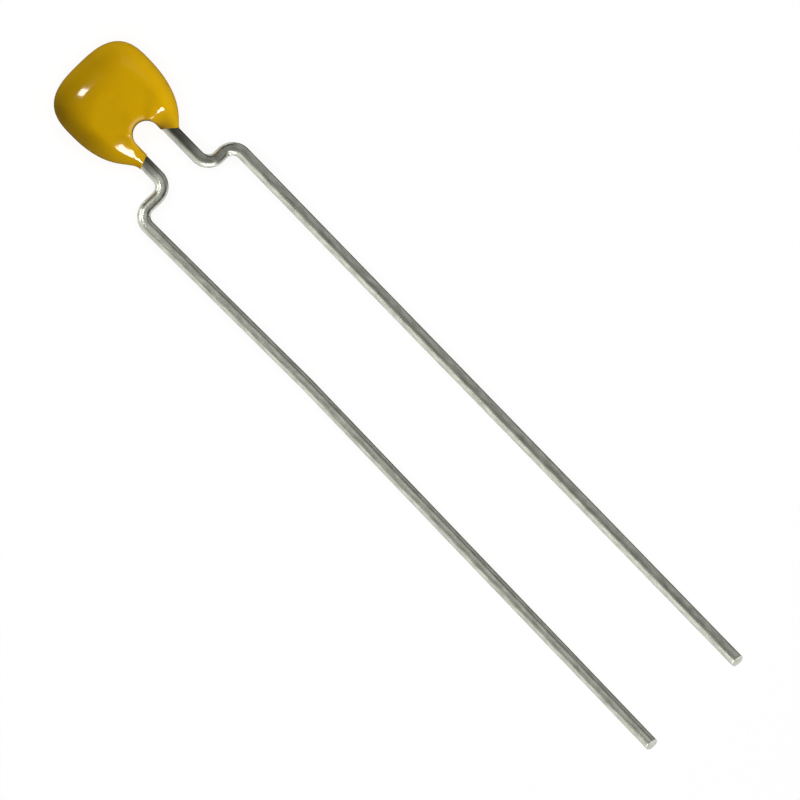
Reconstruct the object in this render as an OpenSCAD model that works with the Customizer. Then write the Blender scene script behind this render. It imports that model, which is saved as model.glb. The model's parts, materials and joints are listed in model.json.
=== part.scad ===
// Radial multilayer ceramic capacitor, lying on its back with the leads along -Y.
// The plan is drawn about the centre of the arch between the coat's two feet,
// in the plane of the leads, and is then laid on the floor at z = 0.

/* [Coat] */
// Width of the body at its widest level
coat_w = 4.48; // [4.2:0.02:5.2]
// Thickness of the body at its middle
coat_t = 2.5; // [2:0.05:3.2]
// How much the crown falls off from the middle to either side
crown_drop = 0.08; // [0.05:0.01:0.2]
// Height of the body's top above the arch's centre
coat_h = 4; // [3.7:0.05:5]
// Height of the widest level above the arch's centre
widest_h = 2.13; // [1.8:0.01:2.4]
// Roundness of the top outline, 0.5 being an ellipse and 0 a rectangle
top_round = 0.34; // [0.25:0.01:0.5]
// Roundness of the body's cross-section
pillow_round = 0.54; // [0.4:0.01:0.56]
// Roundness of the edge round the arch
arch_round = 0.06; // [0.05:0.01:0.4]
// How far down the sides stay full below the widest level
side_pull = 2.25; // [1.8:0.05:2.4]
// How far up the left foot hugs its lead
left_foot_pull = 0.6; // [0.2:0.05:0.8]
// How far up the right foot hugs its lead
right_foot_pull = 0.2; // [0.1:0.05:0.6]
// How late the left foot's thickness falls off, 1 being an even taper
left_foot_fall = 1.8; // [1.2:0.1:3]
// How late the right foot's thickness falls off
right_foot_fall = 3.2; // [1.2:0.1:4]
// Drop of the left foot's outer edge below the arch's centre
left_foot_drop = 0.88; // [0.5:0.02:1.1]
// Drop of the right foot's outer edge below the arch's centre
right_foot_drop = 0.76; // [0.5:0.02:1.1]
// Drop of the left foot's inner edge
left_foot_inner_drop = 0.62; // [0.2:0.02:1]
// Drop of the right foot's inner edge
right_foot_inner_drop = 0.28; // [0.2:0.02:1]
// Thickness of the coat at its feather edge on the leads
coat_film = 0.03; // [0.02:0.005:0.06]

/* [Chip] */
// Length of the chip between its two ends
chip_l = 2; // [1.6:0.05:2.2]
// Width of the chip, along the leads
chip_w = 1.25; // [0.8:0.05:1.6]
// Thickness of the chip
chip_t = 0.95; // [0.8:0.05:1.25]
// Height of the chip's centre above the arch's centre
chip_h = 2.3; // [2.2:0.05:2.6]
// Thickness of the end terminations
term_t = 0.03; // [0.02:0.005:0.05]
// How far the terminations wrap over the chip's sides
term_wrap = 0.4; // [0.2:0.05:0.6]

/* [Electrodes] */
// Thickness of an electrode
electrode_t = 0.02; // [0.01:0.005:0.03]
// Distance from one electrode to the next
electrode_pitch = 0.06; // [0.04:0.005:0.062]
// Gap between an electrode and the opposite end of the block
end_gap = 0.3; // [0.15:0.05:0.5]
// Margin between the electrodes and the block's sides
side_gap = 0.15; // [0.1:0.05:0.3]

/* [Solder] */
// Solder between a lead and the end it is tied to
solder_film = 0.03; // [0.02:0.005:0.06]
// Half-width of the solder on the chip's end
solder_spread = 0.4; // [0.3:0.01:0.4]
// Half-width of the solder where it meets the lead
solder_grip = 0.2; // [0.1:0.01:0.2]

/* [Leads] */
// Diameter of the tinned wire
lead_d = 0.55; // [0.45:0.01:0.62]
// Distance between the leads where they leave the coat
exit_pitch = 1.74; // [1.5:0.02:1.9]
// Drop of the tips below the arch's centre
tip_drop = 32.5; // [22:0.5:45]
// Centreline radius of the splay inside the coat
splay_r = 0.4; // [0.3:0.05:0.6]
// Straight run of the leads below the chip, before the splay
seat_run = 0.1; // [0.05:0.05:0.2]
// Centreline radius of the kinks
kink_r = 0.6; // [0.4:0.05:0.7]
// Drop of the left kink below the arch's centre
left_kink_drop = 2.17; // [2:0.01:4]
// Drop of the right kink below the arch's centre
right_kink_drop = 2.73; // [2:0.01:4]
// How far the left kink steps outwards
left_kink_reach = 1.72; // [1.3:0.02:2.2]
// How far the right kink steps outwards
right_kink_reach = 1.44; // [1.3:0.02:2.2]
// How far the left lead bows inwards below its kink
left_bow = 0.17; // [0:0.01:0.3]
// Drop of the bow's deepest point
bow_drop = 12; // [8:0.5:18]
// Centreline radius of the bow
bow_r = 1; // [0.5:0.1:1.5]
// Slope of the sheared tips, in degrees
tip_slope = 25; // [0:1:40]

/* [Hidden] */
electrode_count = 12;

$fn = 48;
lead_r = lead_d / 2;
exit_x = exit_pitch / 2;
coat_half_t = coat_t / 2;
side_half_t = coat_half_t - crown_drop;

// The foot of the coat closes round its lead
foot_r = lead_r + coat_film;
arch_r = exit_x - foot_r;

// Where on the arch the side rings start, and how fast they set off round it, in degrees
arch_start = atan2(widest_h, coat_w / 2);
arch_speed = 3 * side_pull * coat_w / 2 / (pow(coat_w / 2, 2) + pow(widest_h, 2)) * 180 / PI;

// The ceramic block lies within the terminations' thickness on every side
block_l = chip_l - 2 * term_t;
block_w = chip_w - 2 * term_t;
block_t = chip_t - 2 * term_t;

// Each lead runs beside its end of the chip, then splays in to its exit
seat_x = chip_l / 2 + solder_film + lead_r;
splay = seat_x - exit_x;
splay_turn = asin(0.6);
splay_run = (splay - 2 * splay_r * (1 - cos(splay_turn))) / sin(splay_turn);
splay_rise = 2 * splay_r * sin(splay_turn) + splay_run * cos(splay_turn);
chip_top = chip_h + chip_w / 2;
splay_end = chip_top - chip_w - seat_run - splay_rise;

// The part rests on the belly of its body and on both tips
belly_h = (coat_h + arch_r) / 2;
rest_tilt = atan((coat_half_t - lead_r) / (tip_drop + belly_h));
rest_lift = coat_half_t * cos(rest_tilt) - belly_h * sin(rest_tilt);
rest_shift = (tip_drop - coat_h) / 2;

// The body thins towards the arch, by enough that its crest stays the lowest point
web_fall = 1.3 * tan(rest_tilt) * (coat_h - arch_r) / coat_t;

coat_colour = "#c79a0a";
ceramic_colour = "#9c8466";
electrode_colour = "#6f7072";
termination_colour = "#b9babb";
solder_colour = "#a3a4a2";
lead_colour = "#9a9a90";

cosine_steps = 1e6;

// Facets of the coat: rings over the top, rings down each side, points in a ring
top_rings = 36;
side_rings = 14;
ring_points = 32;

module laid() {
    translate([0, rest_shift, rest_lift]) rotate([rest_tilt, 0, 0]) children();
}

module mirrored(side) {
    mirror([side < 0 ? 1 : 0, 0, 0]) children();
}

// The point of a unit circle that is squared off, in the direction a
function square_point(a, round) =
    [cos(a), sin(a)] / pow(pow(abs(cos(a)), 1 / round) + pow(abs(sin(a)), 1 / round), round);

function smooth(t) = t * t * (3 - 2 * t);

function mix(a, b, t) = a + (b - a) * t;

// The nearest angle whose cosine is a whole number of millionths, so that turned pieces meet exactly
function stepped(angle) = acos(round(cos(angle) * cosine_steps) / cosine_steps);

function cubic(a, b, c, d, t) =
    a * pow(1 - t, 3) + 3 * b * pow(1 - t, 2) * t + 3 * c * (1 - t) * t * t + d * pow(t, 3);

// A ring of the coat runs from the arch to the outline and back underneath
function coat_ring(inner, outer, half_t, fall, inner_round, outer_round) = [
    for (j = [0 : ring_points - 1])
        let (
            a = 360 * j / ring_points,
            p = square_point(a, cos(a) < 0 ? inner_round : outer_round),
            at = mix(inner, outer, (1 + p.x) / 2)
        )
        [at.x, at.y, half_t * p.y * (1 + fall * min(0, p.x))]
];

// Rings over the top, from the right side to the left
function top_ring(a) =
    let (
        p = square_point(a, top_round),
        outer = [coat_w / 2 * p.x, mix(widest_h, coat_h, p.y)]
    )
    coat_ring(
        arch_r * outer / norm(outer),
        outer,
        side_half_t + crown_drop * pow(sin(a), 2),
        web_fall,
        arch_round,
        pillow_round
    );

// Beside the arch, a turn below zero runs straight down the lead
function beside_arch(turn) =
    turn > 0 ? arch_r * [cos(turn), sin(turn)] : [arch_r, arch_r * turn * PI / 180];

// Rings down one side, t from 0 at the widest level to 1 at the end of the foot
function side_ring(side, t) =
    let (
        foot_pull = side < 0 ? left_foot_pull : right_foot_pull,
        foot_fall = side < 0 ? left_foot_fall : right_foot_fall,
        foot_drop = side < 0 ? left_foot_drop : right_foot_drop,
        inner_drop = side < 0 ? left_foot_inner_drop : right_foot_inner_drop,
        arch_turn = arch_start + inner_drop / arch_r * 180 / PI,
        inner = beside_arch(arch_start - arch_speed * t - (arch_turn - arch_speed) * t * t),
        y = cubic(widest_h, widest_h - side_pull, foot_pull - foot_drop, -foot_drop, t),
        outer = [mix(coat_w / 2, exit_x + foot_r, smooth(t)), y],
        fallen = pow((widest_h - y) / (widest_h + foot_drop), foot_fall)
    )
    coat_ring(
        [side * inner.x, inner.y],
        [side * outer.x, outer.y],
        mix(side_half_t, foot_r, fallen),
        web_fall * (1 - smooth(t)),
        mix(arch_round, 0.5, pow(smooth(t), 2)),
        mix(pillow_round, 0.5, smooth(t))
    );

module coat_form() {
    rings = concat(
        [for (i = [side_rings : -1 : 1]) side_ring(1, i / side_rings)],
        [for (i = [0 : top_rings]) top_ring(180 * i / top_rings)],
        [for (i = [1 : side_rings]) side_ring(-1, i / side_rings)]
    );
    last = len(rings) - 1;
    sides = [
        for (i = [0 : last - 1], j = [0 : ring_points - 1])
            let (k = (j + 1) % ring_points)
            [i * ring_points + j, i * ring_points + k, (i + 1) * ring_points + k, (i + 1) * ring_points + j]
    ];
    first_cap = [for (j = [ring_points - 1 : -1 : 0]) j];
    last_cap = [for (j = [0 : ring_points - 1]) last * ring_points + j];
    polyhedron([for (ring = rings) each ring], concat(sides, [first_cap, last_cap]));
}

// A round wire through straights and bends, each step being [straight, turn, radius].
// It sets off along -Y, and a positive turn is towards +X.
module wire(steps, i = 0) {
    run = steps[i][0];
    turn = steps[i][1];
    r = steps[i][2];
    if (i == len(steps) - 1)
        sheared(run);
    else {
        if (run > 0)
            rotate([90, 0, 0]) cylinder(h = run, r = lead_r);
        translate([0, -run, 0]) {
            bend(turn, r);
            translate([sign(turn) * r, 0, 0]) rotate([0, 0, turn]) translate([-sign(turn) * r, 0, 0])
                wire(steps, i + 1);
        }
    }
}

module bend(turn, r) {
    if (turn != 0)
        mirrored(turn) translate([r, 0, 0]) rotate([0, 0, 180])
            rotate_extrude(angle = abs(turn)) translate([r, 0]) circle(lead_r);
}

// The last straight of a lead, cut off aslant so that its end faces up
module sheared(run) {
    blade = 4 * lead_d;
    difference() {
        rotate([90, 0, 0]) cylinder(h = run, r = lead_r);
        translate([0, -run, -lead_r]) rotate([-tip_slope, 0, 0])
            translate([-blade / 2, -blade, -blade / 2]) cube(blade);
    }
}

// One lead from the chip's top down to its tip
module lead_wire(kink_drop, kink_reach, bow) {
    jog = kink_reach - 2 * kink_r;
    kink_start = kink_r - kink_drop;
    bow_in = stepped(atan(bow / (bow_drop - kink_drop - kink_r)));
    bow_turn = stepped(bow_in + atan(bow / (tip_drop - bow_drop)));
    bow_run = bow_r * tan(bow_turn / 2);
    kink_end = kink_drop + kink_r * (1 + sin(bow_in));
    translate([seat_x, chip_top, 0]) wire([
        [chip_w + seat_run, -splay_turn, splay_r],
        [splay_run, splay_turn, splay_r],
        [splay_end - kink_start, 90, kink_r],
        [jog, -90 - bow_in, kink_r],
        [(bow_drop - kink_end) / cos(bow_in) - bow_run, bow_turn, bow_r],
        [(tip_drop - bow_drop) / cos(bow_turn - bow_in) - bow_run, 0, 0]
    ]);
}

module left_wire() {
    mirrored(-1) lead_wire(left_kink_drop, left_kink_reach, left_bow);
}

module right_wire() {
    lead_wire(right_kink_drop, right_kink_reach, 0);
}

module block_form() {
    translate([0, chip_h, 0]) cube([block_l, block_w, block_t], center = true);
}

// Odd plates start at the left end of the block, even ones at the right
module electrode_plate(i) {
    plate_l = block_l - end_gap;
    side = i % 2 == 1 ? -1 : 1;
    z = (i - (electrode_count + 1) / 2) * electrode_pitch;
    translate([side * end_gap / 2, chip_h, z])
        cube([plate_l, block_w - 2 * side_gap, electrode_t], center = true);
}

module termination_cap(side) {
    difference() {
        translate([side * (chip_l - term_wrap) / 2, chip_h, 0])
            cube([term_wrap, chip_w, chip_t], center = true);
        block_form();
    }
}

// Solder fills the corners between a lead and the chip's end
module solder_joint(side) {
    mirrored(side) translate([0, chip_h, 0]) rotate([90, 0, 0])
        linear_extrude(chip_w, center = true)
            difference() {
                polygon([
                    [chip_l / 2, -solder_spread],
                    [seat_x, -solder_grip],
                    [seat_x, solder_grip],
                    [chip_l / 2, solder_spread]
                ]);
                translate([seat_x, 0]) circle(lead_r);
            }
}

module epoxy_coating() {
    color(coat_colour) laid() difference() {
        coat_form();
        block_form();
        termination_cap(-1);
        termination_cap(1);
        solder_joint(-1);
        solder_joint(1);
        left_wire();
        right_wire();
    }
}

module ceramic_block() {
    color(ceramic_colour) laid() difference() {
        block_form();
        for (i = [1 : electrode_count])
            electrode_plate(i);
    }
}

module electrode(i) {
    color(electrode_colour) laid() electrode_plate(i);
}

module left_termination() {
    color(termination_colour) laid() termination_cap(-1);
}

module right_termination() {
    color(termination_colour) laid() termination_cap(1);
}

module left_solder() {
    color(solder_colour) laid() solder_joint(-1);
}

module right_solder() {
    color(solder_colour) laid() solder_joint(1);
}

module left_lead() {
    color(lead_colour) laid() left_wire();
}

module right_lead() {
    color(lead_colour) laid() right_wire();
}

epoxy_coating();
ceramic_block();
for (i = [1 : electrode_count])
    electrode(i);
left_termination();
right_termination();
left_solder();
right_solder();
left_lead();
right_lead();
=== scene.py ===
"""Looks of a radial ceramic capacitor that lies on a white table, seen from above."""

import json
import math

import bmesh
import bpy
from mathutils import Matrix, Vector


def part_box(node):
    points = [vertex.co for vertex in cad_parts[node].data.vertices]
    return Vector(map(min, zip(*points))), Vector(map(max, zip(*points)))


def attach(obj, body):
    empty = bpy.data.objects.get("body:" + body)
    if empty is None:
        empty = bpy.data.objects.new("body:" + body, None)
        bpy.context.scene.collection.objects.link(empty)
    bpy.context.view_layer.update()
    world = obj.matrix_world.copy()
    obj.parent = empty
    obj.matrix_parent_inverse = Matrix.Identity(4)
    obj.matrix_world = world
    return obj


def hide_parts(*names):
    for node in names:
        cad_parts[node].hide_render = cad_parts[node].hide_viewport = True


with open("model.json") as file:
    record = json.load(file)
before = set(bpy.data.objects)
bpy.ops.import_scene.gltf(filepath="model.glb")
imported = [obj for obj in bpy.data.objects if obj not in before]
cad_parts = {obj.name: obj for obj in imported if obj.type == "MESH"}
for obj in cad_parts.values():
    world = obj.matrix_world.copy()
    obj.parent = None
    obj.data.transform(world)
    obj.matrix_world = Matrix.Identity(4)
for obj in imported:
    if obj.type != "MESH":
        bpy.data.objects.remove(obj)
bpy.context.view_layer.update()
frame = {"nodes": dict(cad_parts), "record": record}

# Sizes are in millimetres, about the centre of the arch between the coat's feet
MM = 0.001
SIDES = {"left": -1, "right": 1}

# Outline and thickness of the coat
COAT_W = 4.48
COAT_H = 4
WIDEST_H = 2.13
HALF_T = 1.25
CROWN_DROP = 0.08
SIDE_HALF_T = HALF_T - CROWN_DROP
FOOT_DROP = {"left": 0.88, "right": 0.76}
FOOT_INNER_DROP = {"left": 0.62, "right": 0.28}
COAT_FILM = 0.03

# Roundness of the coat's curves, from 0 for a rectangle to 0.5 for an ellipse and 1 for a diamond
ELLIPSE = 0.5
TOP_ROUND = 0.34
PILLOW_ROUND = 0.54
ARCH_ROUND = 0.06

# How far down the sides stay full, how far up the feet hug the leads, and how late the feet get thin
SIDE_PULL = 2.25
FOOT_PULL = {"left": 0.6, "right": 0.2}
FOOT_FALL = {"left": 1.8, "right": 3.2}

# Where on the arch the rings down the sides start, and how fast they set off round it
ARCH_START = math.atan2(WIDEST_H, COAT_W / 2)
ARCH_SPEED = 3 * SIDE_PULL * COAT_W / 2 / ((COAT_W / 2) ** 2 + WIDEST_H ** 2)

# How far along the coat its film starts to thin out and take painted shade, and how brown the thin film
# and its painted shade get at the end of a foot
FILM_AND_SHADE_START = 0.72
FILM_AND_SHADE_SHARE = {"left": 0.25, "right": 0.9}

# Where a ring of the coat passes the sharp rim of the arch, and how wide the dull band is there
RIM_ANGLE = math.radians(135)
RIM_SPREAD = 0.07

# The coat's mesh: its rings, their points, and the share of the rings that is over the top
COAT_RINGS = 176
RING_POINTS = 144
TOP_SHARE = 0.5625

# How the points crowd at the corners of a squared ring
SQUARE_CORNERS = 4
EDGE_DRAW = 0.8

# The gap that the coat's seam closes, and the narrow band that holds the edge of a foot's end
SEAM_GAP = 1e-4
FOOT_BAND = 0.02

# Sizes of the wire's route
LEAD_R = frame["record"]["mounts"][0]["dims"]["r_mm"]
FOOT_R = LEAD_R + COAT_FILM
EXIT_X = 0.87
ARCH_R = EXIT_X - FOOT_R
SEAT_X = 1.305
CHIP_TOP = 2.925
CHIP_W = 1.25
SEAT_RUN = 0.1
SPLAY_R = 0.4
SPLAY_TURN = math.asin(0.6)
KINK_R = 0.6
KINK_DROP = {"left": 2.17, "right": 2.73}
KINK_REACH = {"left": 1.72, "right": 1.44}
BOW = {"left": 0.17, "right": 0}
BOW_DROP = 12
BOW_R = 1
TIP_DROP = 32.5
TIP_SLOPE = math.radians(25)

# The wire's mesh: its fineness, and the narrow band that holds the edge of its tip
WIRE_SIDES = 40
BEND_STEP = math.radians(6)
RUN_STEP = 0.5
TIP_BAND = 0.03

# The mark of a forming tool on the right wire's lower bend
MARK_AT = Vector((1.87, -2.98, 0.18))
MARK_R = 0.17
MARK_DEPTH = 0.06

# How far below the arch's centre the wires are darker, and how much painted light lifts that darkness on
# their left side
DARK_START = 0.7
DARK_END = {"left": 1.9, "right": 3}
LEFT_PAINTED_LIGHT = 0.75

# How the part lies: on the belly of its body and on the tips of its leads
BELLY_H = (COAT_H + ARCH_R) / 2
REST_TILT = math.atan((HALF_T - LEAD_R) / (TIP_DROP + BELLY_H))
REST_LIFT = HALF_T * math.cos(REST_TILT) - BELLY_H * math.sin(REST_TILT)
REST_SHIFT = (TIP_DROP - COAT_H) / 2
LAID = Matrix.Translation((0, REST_SHIFT, REST_LIFT)) @ Matrix.Rotation(REST_TILT, 4, "X")

# The body thins towards the arch, by enough that its crest stays the lowest point, after a soft start
WEB_SPARE = 1.3
WEB_FALL = WEB_SPARE * math.tan(REST_TILT) * (COAT_H - ARCH_R) / (2 * HALF_T)
WEB_EASE = 0.3

# Sizes of the patterns in the finishes, and how far two of them are drawn out along the wire.
# The wire's lines and the tin's grain are some microns wide, and are drawn coarser so that they show.
MOTTLE_SIZE = 0.9
FLOW_SIZE = 0.7
LINE_SIZE = 0.05
LINE_STRETCH = 60
TIN_SIZE = 0.16
TIN_STRETCH = 3

# The span that holds nearly all of a noise, and how far a fired piece's roughness varies over it
NOISE_SPAN = {"From Min": 0.3, "From Max": 0.7}
FIRED_SPREAD = 0.06

# Places of the colour sockets on a Mix node: its two inputs and its result
MIX_LOW = 6
MIX_HIGH = 7
MIX_COLOUR = 2

# The table's reach, how brightly it glows to the eye and the share of that glow, and the room's light
TABLE_REACH = 600
TABLE_GLOW = 1.18
GLOW_SHARE = 0.75
FILL_LIGHT = 0.02
ROOM_LIGHT = 0.04
BACK_LIGHT = 1

# The centre of the body, which the lamps and cards face, and their distance from it
BODY_LOW, BODY_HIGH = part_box("epoxy_coating")
BODY_AT = (BODY_LOW + BODY_HIGH) / 2
LIGHT_DISTANCE = 150

# The photograph's frame: its width, the point at its centre and how far the leads are turned in it.
# The lens is long, because the photograph hardly shows the wall of the arch.
VIEW_WIDTH = 32.79
VIEW_CENTRE = (-0.14, -15.06, 0)
VIEW_ROLL = math.radians(-44.21)
LENS = 600
SENSOR = 36


def srgb(code):
    """A colour written as an sRGB hex value, in linear numbers with an alpha of one."""
    parts = [int(code[i:i + 2], 16) / 255 for i in (1, 3, 5)]
    return [c / 12.92 if c <= 0.04045 else ((c + 0.055) / 1.055) ** 2.4 for c in parts] + [1]


def add(tree, kind, inputs=None, **settings):
    """Adds a shader node. An input takes a value, a socket or the first output of another node."""
    made = tree.nodes.new("ShaderNode" + kind)
    for name, value in settings.items():
        setattr(made, name, value)
    for name, value in (inputs or {}).items():
        if isinstance(value, bpy.types.Node):
            value = value.outputs[0]
        if isinstance(value, bpy.types.NodeSocket):
            tree.links.new(value, made.inputs[name])
        else:
            made.inputs[name].default_value = value
    return made


def new_material(name):
    """An empty node material and its tree."""
    material = bpy.data.materials.new(name)
    material.use_nodes = True
    material.node_tree.nodes.clear()
    return material, material.node_tree


def pattern(tree, size_mm, detail, stretch=1):
    """A grain of about size_mm in the part's own space, drawn out along the leads by its stretch."""
    scale = [1 / (size_mm * MM * s) for s in (1, stretch, 1)]
    place = add(tree, "TexCoord").outputs["Object"]
    mapped = add(tree, "Mapping", {"Vector": place, "Scale": scale})
    return add(tree, "TexNoise", {"Vector": mapped, "Scale": 1, "Detail": detail})


def dipped_epoxy():
    """Epoxy that flowed and cured on the part: glossy, even, with a faint waviness and mottling.

    It is browner where it thins out over the wire, with painted shade on the inner side of the feet,
    most on the right foot, and duller along the rim of the arch."""
    material, tree = new_material("dipped golden epoxy")
    mottle = add(tree, "MapRange", {"Value": pattern(tree, MOTTLE_SIZE, detail=3), **NOISE_SPAN})
    thick = add(tree, "Mix", {
        "Factor": mottle, MIX_LOW: srgb("#C59802"), MIX_HIGH: srgb("#CB9E04"),
    }, data_type="RGBA").outputs[MIX_COLOUR]
    # Painted shade with a thin film: a brown for the epoxy that runs out on the wire, which also darkens
    # the feet's inner side as shade would
    film_and_shade = add(tree, "Attribute", attribute_name="film_and_shade").outputs["Fac"]
    colour = add(tree, "Mix", {
        "Factor": film_and_shade, MIX_LOW: thick, MIX_HIGH: srgb("#6B5216"),
    }, data_type="RGBA").outputs[MIX_COLOUR]
    rim = add(tree, "Attribute", attribute_name="rim").outputs["Fac"]
    flow = pattern(tree, FLOW_SIZE, detail=1)
    shader = add(tree, "BsdfPrincipled", {
        "Base Color": colour,
        "Roughness": add(tree, "MapRange", {"Value": rim, "To Min": 0.1, "To Max": 0.5}),
        "IOR": 1.5,
        "Normal": add(tree, "Bump", {"Height": flow, "Strength": 0.12, "Distance": 0.02 * MM}),
    })
    add(tree, "OutputMaterial", {"Surface": shader})
    return material


def tinned_wire():
    """Drawn wire with a coat of tin: satin, with fine lines along it, a short grain and duller patches.

    It is darker by the body, and painted light keeps it paler on its left side there."""
    material, tree = new_material("drawn and tinned wire")
    lines = pattern(tree, LINE_SIZE, detail=3, stretch=LINE_STRETCH)
    grain = pattern(tree, TIN_SIZE, detail=3, stretch=TIN_STRETCH)
    tin = add(tree, "Mix", {
        "Factor": add(tree, "MapRange", {"Value": grain, **NOISE_SPAN}),
        MIX_LOW: srgb("#ACADA1"),
        MIX_HIGH: srgb("#D5D6C9"),
    }, data_type="RGBA").outputs[MIX_COLOUR]
    # Darker near the body, with painted light that keeps the wire's left side paler
    body_dark_and_painted_light = add(tree, "Attribute", attribute_name="body_dark_and_painted_light").outputs["Fac"]
    colour = add(tree, "Mix", {
        "Factor": body_dark_and_painted_light, MIX_LOW: tin, MIX_HIGH: srgb("#5C5D52"),
    }, data_type="RGBA").outputs[MIX_COLOUR]
    shader = add(tree, "BsdfPrincipled", {
        "Base Color": colour,
        "Metallic": 1,
        "Roughness": add(tree, "MapRange", {
            "Value": lines, **NOISE_SPAN, "To Min": 0.26, "To Max": 0.4,
        }),
        "Normal": add(tree, "Bump", {"Height": lines, "Strength": 0.25, "Distance": 0.01 * MM}),
    })
    add(tree, "OutputMaterial", {"Surface": shader})
    return material


def fired_material(name, low, high, grain_mm, metallic, rough):
    """A fired or melted piece inside the coat, with a fine grain in its colour and its dullness.

    The real grain is some microns wide, and is drawn coarser so that it shows."""
    material, tree = new_material(name)
    grain = pattern(tree, grain_mm, detail=4)
    colour = add(tree, "Mix", {
        "Factor": add(tree, "MapRange", {"Value": grain, **NOISE_SPAN}),
        MIX_LOW: srgb(low),
        MIX_HIGH: srgb(high),
    }, data_type="RGBA").outputs[MIX_COLOUR]
    dullness = add(tree, "MapRange", {
        "Value": grain, **NOISE_SPAN, "To Min": rough - FIRED_SPREAD, "To Max": rough + FIRED_SPREAD,
    })
    shader = add(tree, "BsdfPrincipled", {
        "Base Color": colour, "Metallic": metallic, "Roughness": dullness,
    })
    add(tree, "OutputMaterial", {"Surface": shader})
    return material


def add_piece(name, bm, material, slot, *nodes):
    """Makes a piece of a mesh that stands for CAD nodes, and lets it ride on the part."""
    mesh = bpy.data.meshes.new(name)
    bm.to_mesh(mesh)
    bm.free()
    mesh.shade_smooth()
    piece = bpy.data.objects.new(name, mesh)
    bpy.context.scene.collection.objects.link(piece)
    piece.data.materials.append(material)
    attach(piece, "root")
    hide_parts(*nodes)
    return piece


def cap_rims(bm, thickness):
    """Closes the open rims of a mesh, with a narrow band round each cap that holds its edge."""
    rims = [e for e in bm.edges if e.is_boundary]
    caps = bmesh.ops.holes_fill(bm, edges=rims, sides=0)["faces"]
    bmesh.ops.inset_individual(bm, faces=caps, thickness=thickness, depth=0)


def mix(low, high, t):
    """An even run from low to high, for t from 0 to 1."""
    return low + (high - low) * t


def smooth(t):
    """A run from 0 to 1 that starts and ends softly."""
    return t * t * (3 - 2 * t)


def cubic(a, b, c, d, t):
    """A curved run from a to d that sets off towards b and arrives from c."""
    return a * (1 - t) ** 3 + 3 * b * (1 - t) ** 2 * t + 3 * c * (1 - t) * t ** 2 + d * t ** 3


def square_point(angle, roundness):
    """The point of a unit circle that is squared off, in the direction of the angle."""
    c, s = math.cos(angle), math.sin(angle)
    return Vector((c, s)) / (abs(c) ** (1 / roundness) + abs(s) ** (1 / roundness)) ** roundness


def beside_arch(turn):
    """A point on the arch's edge, where a turn below zero runs straight down the lead."""
    if turn > 0:
        return ARCH_R * Vector((math.cos(turn), math.sin(turn)))
    return Vector((ARCH_R, ARCH_R * turn))


def top_ring(a):
    """A ring over the top: its two ends, its thickness, its fall and its roundness at either end."""
    p = square_point(a, TOP_ROUND)
    outer = Vector((COAT_W / 2 * p.x, mix(WIDEST_H, COAT_H, p.y)))
    half_t = SIDE_HALF_T + CROWN_DROP * math.sin(a) ** 2
    return outer * ARCH_R / outer.length, outer, half_t, WEB_FALL, ARCH_ROUND, PILLOW_ROUND


def side_ring(side, t):
    """A ring down one side, t from 0 at the widest level to 1 at the end of the foot."""
    drop = FOOT_DROP[side]
    arch_turn = ARCH_START + FOOT_INNER_DROP[side] / ARCH_R
    inner = beside_arch(ARCH_START - ARCH_SPEED * t - (arch_turn - ARCH_SPEED) * t * t)
    y = cubic(WIDEST_H, WIDEST_H - SIDE_PULL, FOOT_PULL[side] - drop, -drop, t)
    outer = Vector((mix(COAT_W / 2, EXIT_X + FOOT_R, smooth(t)), y))
    fallen = ((WIDEST_H - y) / (WIDEST_H + drop)) ** FOOT_FALL[side]
    half_t = mix(SIDE_HALF_T, FOOT_R, fallen)
    inner_round = mix(ARCH_ROUND, ELLIPSE, smooth(t) ** 2)
    outer_round = mix(PILLOW_ROUND, ELLIPSE, smooth(t))
    return inner, outer, half_t, WEB_FALL * (1 - smooth(t)), inner_round, outer_round


def ring_angle(turn):
    """The angle of a ring's point, for turns from -1 to 1. By the arch, the points crowd at its rims."""
    angle = math.pi * turn
    if abs(turn) < 0.5:
        return angle
    return angle + EDGE_DRAW / SQUARE_CORNERS * math.sin(SQUARE_CORNERS * angle)


def coat_point(along, around):
    """A point of the coat's skin, from the right foot at -1 over the top to the left foot at 1.

    A ring runs from the arch to the outline and back underneath."""
    side = "left" if along > 0 else "right"
    if abs(along) < TOP_SHARE:
        ring = top_ring(math.pi / 2 * (1 - abs(along) / TOP_SHARE))
    else:
        ring = side_ring(side, (abs(along) - TOP_SHARE) / (1 - TOP_SHARE))
    inner, outer, half_t, fall, inner_round, outer_round = ring
    p = square_point(around, inner_round if math.cos(around) < 0 else outer_round)
    at = inner.lerp(outer, (1 + p.x) / 2)
    dip = fall * (p.x - math.hypot(p.x, WEB_EASE)) / 2
    return Vector((SIDES[side] * at.x, at.y, half_t * p.y * (1 + dip)))


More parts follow.
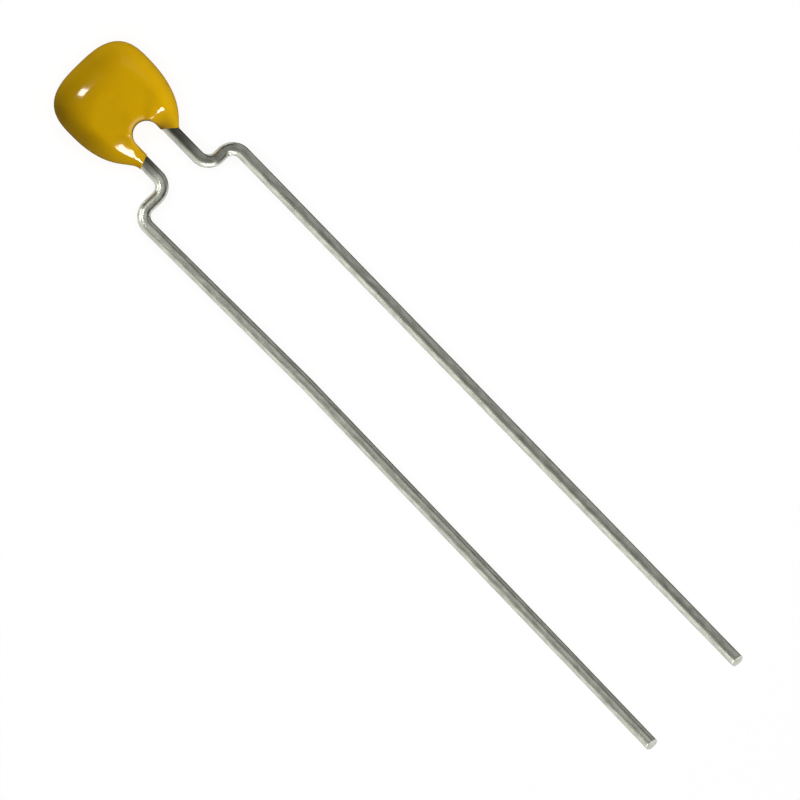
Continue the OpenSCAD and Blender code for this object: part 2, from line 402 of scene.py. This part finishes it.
def coat_skin():
    """The coat's skin: a sheet that is carried round the rings, sewn up and closed at the feet.

    One attribute grows to the inner end of each foot, where the epoxy runs out thin on the wire, and
    carries painted shade there, most on the right foot.
    Its attribute "rim" is highest along the sharp rim of the arch."""
    bm = bmesh.new()
    bmesh.ops.create_grid(bm, x_segments=COAT_RINGS, y_segments=RING_POINTS, size=1)
    film_and_shade = bm.verts.layers.float.new("film_and_shade")
    rim = bm.verts.layers.float.new("rim")
    for vert in bm.verts:
        along, around = vert.co.x, ring_angle(vert.co.y)
        side = "left" if along > 0 else "right"
        # Painted shade with the thin film: a share that grows towards the inner side of each foot's end
        ending = smooth(max(0, abs(along) - FILM_AND_SHADE_START) / (1 - FILM_AND_SHADE_START))
        vert[film_and_shade] = FILM_AND_SHADE_SHARE[side] * ending * (1 - math.cos(around)) / 2
        vert[rim] = math.exp(-((abs(around) - RIM_ANGLE) / RIM_SPREAD) ** 2)
        vert.co = coat_point(along, around)
    bmesh.ops.remove_doubles(bm, verts=bm.verts, dist=SEAM_GAP)
    cap_rims(bm, FOOT_BAND)
    bmesh.ops.recalc_face_normals(bm, faces=bm.faces)
    bmesh.ops.transform(bm, matrix=Matrix.Scale(MM, 4) @ LAID, verts=bm.verts)
    return bm


def wire_steps(side):
    """The wire's route from the chip to its tip: steps of a straight, a turn and the turn's radius."""
    splay = SEAT_X - EXIT_X
    splay_run = (splay - 2 * SPLAY_R * (1 - math.cos(SPLAY_TURN))) / math.sin(SPLAY_TURN)
    splay_rise = 2 * SPLAY_R * math.sin(SPLAY_TURN) + splay_run * math.cos(SPLAY_TURN)
    splay_end = CHIP_TOP - CHIP_W - SEAT_RUN - splay_rise
    drop, reach, bow = KINK_DROP[side], KINK_REACH[side], BOW[side]
    bow_in = math.atan(bow / (BOW_DROP - drop - KINK_R))
    bow_turn = bow_in + math.atan(bow / (TIP_DROP - BOW_DROP))
    bow_run = BOW_R * math.tan(bow_turn / 2)
    kink_end = drop + KINK_R * (1 + math.sin(bow_in))
    quarter = math.pi / 2
    return [
        (CHIP_W + SEAT_RUN, -SPLAY_TURN, SPLAY_R),
        (splay_run, SPLAY_TURN, SPLAY_R),
        (splay_end + drop - KINK_R, quarter, KINK_R),
        (reach - 2 * KINK_R, -quarter - bow_in, KINK_R),
        ((BOW_DROP - kink_end) / math.cos(bow_in) - bow_run, bow_turn, BOW_R),
        ((TIP_DROP - BOW_DROP) / math.cos(bow_turn - bow_in) - bow_run, 0, 0),
    ]


def extrude_run(bm, ring, heading, run):
    """Draws the ring out along a straight, in short lengths."""
    lengths = max(1, round(run / RUN_STEP))
    for _ in range(lengths):
        made = bmesh.ops.extrude_edge_only(bm, edges=ring)["geom"]
        ring = [g for g in made if isinstance(g, bmesh.types.BMEdge) and g.is_boundary]
        verts = [g for g in made if isinstance(g, bmesh.types.BMVert)]
        bmesh.ops.translate(bm, verts=verts, vec=heading * run / lengths)
    return ring


def spin_bend(bm, ring, centre, turn):
    """Takes the ring round a bend about an upright axis."""
    verts = list(dict.fromkeys(v for e in ring for v in e.verts))
    made = bmesh.ops.spin(
        bm, geom=verts + ring, cent=centre, axis=(0, 0, 1), dvec=(0, 0, 0), angle=turn,
        steps=max(2, math.ceil(abs(turn) / BEND_STEP)), use_duplicate=False)["geom_last"]
    return [g for g in made if isinstance(g, bmesh.types.BMEdge)]


def press_mark(bm):
    """Presses the forming tool's mark into a wire's skin, where the wire comes near it."""
    bm.normal_update()
    for vert in bm.verts:
        near = 1 - (vert.co - MARK_AT).length / MARK_R
        if near > 0:
            vert.co -= vert.normal * MARK_DEPTH * smooth(near)


def darken_near_body(bm, side):
    """Writes to an attribute how much darker a wire is near the body, with painted light on the side
    that faces left.
    """
    bm.normal_update()
    body_dark_and_painted_light = bm.verts.layers.float.new("body_dark_and_painted_light")
    for vert in bm.verts:
        from_body = (-vert.co.y - DARK_START) / (DARK_END[side] - DARK_START)
        # Painted light: the side of the wire that faces left is painted paler
        painted_light = LEFT_PAINTED_LIGHT * max(0, -vert.normal.x)
        vert[body_dark_and_painted_light] = (1 - smooth(min(1, max(0, from_body)))) * (1 - painted_light)


def swept_lead(side):
    """A lead that is drawn out and bent along its route, and sheared off at its tip."""
    sign = SIDES[side]
    at = Vector((sign * SEAT_X, CHIP_TOP, 0))
    heading = Vector((0, -1, 0))
    bm = bmesh.new()
    bmesh.ops.create_circle(
        bm, cap_ends=True, radius=LEAD_R, segments=WIRE_SIDES,
        matrix=Matrix.Translation(at) @ Matrix.Rotation(math.pi / 2, 4, "X"))
    ring = bm.edges[:]
    for run, turn, radius in wire_steps(side):
        if run > 0:
            ring = extrude_run(bm, ring, heading, run)
            at += heading * run
        turn *= sign
        if turn:
            towards = Vector((-heading.y, heading.x, 0)) * math.copysign(radius, turn)
            centre = at + towards
            ring = spin_bend(bm, ring, centre, turn)
            turned = Matrix.Rotation(turn, 3, "Z")
            at = centre - turned @ towards
            heading = turned @ heading
    slope = heading * math.cos(TIP_SLOPE) + Vector((0, 0, math.sin(TIP_SLOPE)))
    low = at + Vector((0, 0, -LEAD_R))
    for back, is_cut in ((TIP_BAND, False), (0, True)):
        bmesh.ops.bisect_plane(
            bm, geom=bm.verts[:] + bm.edges[:] + bm.faces[:],
            plane_co=low - slope * back, plane_no=slope, clear_outer=is_cut)
    cap_rims(bm, TIP_BAND)
    bmesh.ops.recalc_face_normals(bm, faces=bm.faces)
    press_mark(bm)
    darken_near_body(bm, side)
    bmesh.ops.transform(bm, matrix=Matrix.Scale(MM, 4) @ LAID, verts=bm.verts)
    return bm


def add_light(name, azimuth, zenith, size, brightness):
    """A softbox or card that faces the body. Azimuth turns from +X to +Y, zenith is from straight up.

    A brightness of one shows white in a mirror."""
    data = bpy.data.lights.new(name, "AREA")
    data.shape = "RECTANGLE"
    data.size = size[0] * MM
    data.size_y = size[1] * MM
    data.energy = brightness * math.pi * data.size * data.size_y
    light = bpy.data.objects.new(name, data)
    bpy.context.scene.collection.objects.link(light)
    a, z = math.radians(azimuth), math.radians(zenith)
    away = Vector((math.sin(z) * math.cos(a), math.sin(z) * math.sin(a), math.cos(z)))
    light.location = BODY_AT + away * LIGHT_DISTANCE * MM
    light.rotation_euler = away.to_track_quat("Z", "Y").to_euler()
    light.visible_camera = False
    return light


def light_only(light, pieces, shaded_by_all=False):
    """Lets a light fall on some pieces alone, with nothing else in its way unless all may shade them."""
    group = bpy.data.collections.new(light.name + " falls on")
    for piece in pieces:
        group.objects.link(piece)
    light.light_linking.receiver_collection = group
    if not shaded_by_all:
        light.light_linking.blocker_collection = group


def white_floor():
    """A table under white paper: white to the eye, with the part's soft shadow, and not mirrored."""
    bm = bmesh.new()
    bmesh.ops.create_grid(bm, x_segments=1, y_segments=1, size=TABLE_REACH * MM)
    mesh = bpy.data.meshes.new("table")
    bm.to_mesh(mesh)
    bm.free()
    floor = bpy.data.objects.new("table", mesh)
    bpy.context.scene.collection.objects.link(floor)
    material, tree = new_material("white paper")
    path = add(tree, "LightPath").outputs
    matte = add(tree, "BsdfDiffuse", {"Color": srgb("#F4F4F4")})
    glow = add(tree, "Emission", {"Color": srgb("#FFFFFF"), "Strength": TABLE_GLOW})
    seen = add(tree, "MixShader", {"Fac": GLOW_SHARE, 1: matte, 2: glow})
    paper = add(tree, "MixShader", {"Fac": path["Is Camera Ray"], 1: matte, 2: seen})
    add(tree, "OutputMaterial", {"Surface": paper})
    floor.data.materials.append(material)
    floor.visible_glossy = False
    return floor


def studio_world():
    """White behind the table, an even fill on the part, and a dim room in its reflections."""
    world = bpy.data.worlds.new("studio")
    bpy.context.scene.world = world
    world.use_nodes = True
    tree = world.node_tree
    tree.nodes.clear()
    path = add(tree, "LightPath").outputs
    fill, room, back = [
        add(tree, "Background", {"Color": srgb("#FFFFFF"), "Strength": strength})
        for strength in (FILL_LIGHT, ROOM_LIGHT, BACK_LIGHT)
    ]
    lit = add(tree, "MixShader", {"Fac": path["Is Glossy Ray"], 1: fill, 2: room})
    seen = add(tree, "MixShader", {"Fac": path["Is Camera Ray"], 1: lit, 2: back})
    add(tree, "OutputWorld", {"Surface": seen})


def add_camera():
    """A camera that looks straight down on the plane of the leads, as the photograph does."""
    data = bpy.data.cameras.new("camera")
    data.lens = LENS
    data.sensor_width = SENSOR
    camera = bpy.data.objects.new("camera", data)
    bpy.context.scene.collection.objects.link(camera)
    distance = VIEW_WIDTH * LENS / SENSOR
    place = LAID @ Matrix.Translation(VIEW_CENTRE) @ Matrix.Rotation(VIEW_ROLL, 4, "Z")
    place = place @ Matrix.Translation((0, 0, distance))
    camera.matrix_world = Matrix.LocRotScale(place.translation * MM, place.to_quaternion(), None)
    bpy.context.scene.camera = camera


# The pieces that show
coat = add_piece("dipped_coat", coat_skin(), dipped_epoxy(), "epoxy", "epoxy_coating")
wire = tinned_wire()
leads = [
    add_piece(f"{side}_wire", swept_lead(side), wire, "tinned_wire", f"{side}_lead") for side in SIDES
]
left_wire, right_wire = leads

# Finishes of the pieces inside the coat: tan ceramic with no shine, dark satin layers of nickel,
# pale silver with a soft shine, and solder with larger crystals that is the shiniest of them
inner_finishes = {
    "ceramic": fired_material(
        "fired barium titanate", "#8E7658", "#A58C6A", grain_mm=0.03, metallic=0, rough=0.6),
    "electrode": fired_material(
        "sintered nickel", "#66676A", "#7C7D80", grain_mm=0.02, metallic=1, rough=0.5),
    "termination": fired_material(
        "fired silver", "#B4B5B7", "#CACBCD", grain_mm=0.02, metallic=1, rough=0.45),
    "solder": fired_material(
        "soft solder", "#9C9D9B", "#B0B1AF", grain_mm=0.06, metallic=1, rough=0.35),
}
for entry in frame["record"]["subparts"]:
    if entry["material_slot"] in inner_finishes:
        slots = frame["nodes"][entry["node"]].data.materials
        slots.clear()
        slots.append(inner_finishes[entry["material_slot"]])

floor = white_floor()
studio_world()

# Lights on the coat: name, azimuth, zenith, size, brightness and the rays that don't see it
for *placed, unseen_by in (
    ("key softbox", 25, 53, (100, 100), 6.4, "glossy"),
    ("right softbox", -91.5, 58.5, (100, 60), 10.8, "glossy"),
    ("left lamp", 102.3, 44, (18, 35), 22, "diffuse"),
    ("right lamp", -93.5, 58, (64, 33), 22, "diffuse"),
    ("table's bounce on the feet", -90, 128, (160, 100), 0.8, "glossy"),
    ("table's bounce on the left corner", 122, 108, (120, 80), 1.9, "glossy"),
):
    light = add_light(*placed)
    setattr(light, "visible_" + unseen_by, False)
    light_only(light, [coat])

# Lamps and cards that the leads mirror: name, azimuth, zenith, size, brightness and the wires they light
for *placed, wires in (
    ("upper card", 0, 0, (400, 400), 0.25, leads),
    ("right card", 0, 95, (240, 170), 0.42, leads),
    ("end card", -90, 125, (240, 170), 1, leads),
    ("head card", 90, 125, (240, 170), 1, leads),
    ("low front lamp", -130, 76, (80, 130), 3.8, leads),
    ("low back lamp", 130, 70, (80, 80), 3.5, leads),
    ("high back lamp", 135, 28, (46, 46), 7, [left_wire]),
    ("left card by the left wire", 180, 104, (240, 310), 1, [left_wire]),
    ("left card by the right wire", 180, 95, (240, 420), 1, [right_wire]),
    ("top card by the left wire", 0, 19, (240, 110), 0.4, [left_wire]),
    ("top card by the right wire", 0, 52, (240, 130), 0.2, [right_wire]),
):
    light_only(add_light(*placed), wires)

light_only(add_light("table lamp", 0, 0, (150, 150), 2.1), [floor], shaded_by_all=True)
add_camera()
bpy.context.scene.view_settings.view_transform = "Standard"
